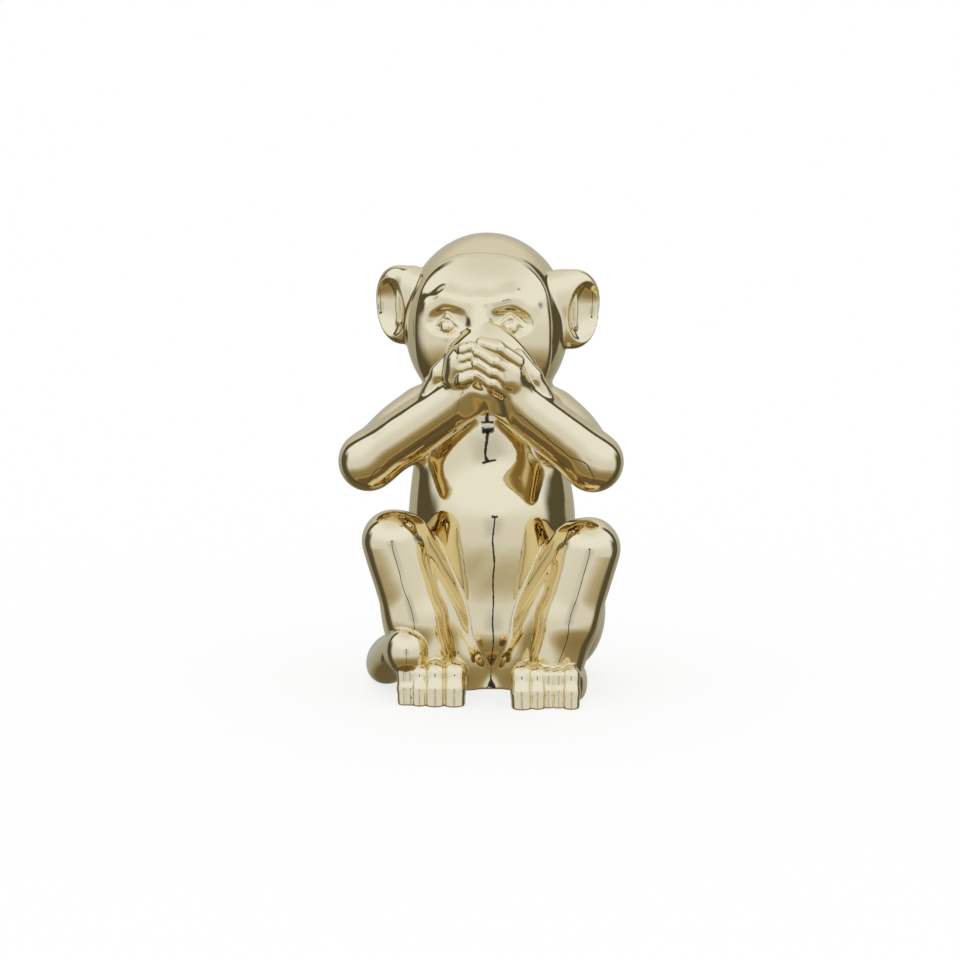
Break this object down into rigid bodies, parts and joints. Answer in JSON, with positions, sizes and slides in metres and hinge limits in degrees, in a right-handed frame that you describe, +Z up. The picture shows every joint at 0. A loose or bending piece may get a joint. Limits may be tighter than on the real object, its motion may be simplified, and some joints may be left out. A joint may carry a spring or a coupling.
{
  "type": "seated monkey figurine",
  "caption": "Seated monkey ornament covering its mouth with both hands, in mirror gold glazed ceramic, with knees up and the tail curled onto one foot.",
  "frame": {"origin": "on the ground, on the torso's upright axis, in the middle of the flat underside", "axes": "+Z up, -Y towards the front that the knees and feet point to, +X to the viewer's right"},
  "size_m": [0.1228, 0.1132, 0.198],
  "materials": {
    "gold_glaze": "mirror gold electroplate over glaze"
  },
  "bodies": {
    "root": {"torso": "gold_glaze", "head": "gold_glaze", "left_ear": "gold_glaze", "right_ear": "gold_glaze", "left_arm": "gold_glaze", "right_arm": "gold_glaze", "left_hand": "gold_glaze", "right_hand": "gold_glaze", "left_leg": "gold_glaze", "right_leg": "gold_glaze", "left_foot": "gold_glaze", "right_foot": "gold_glaze", "tail": "gold_glaze"}
  },
  "joints": []
}
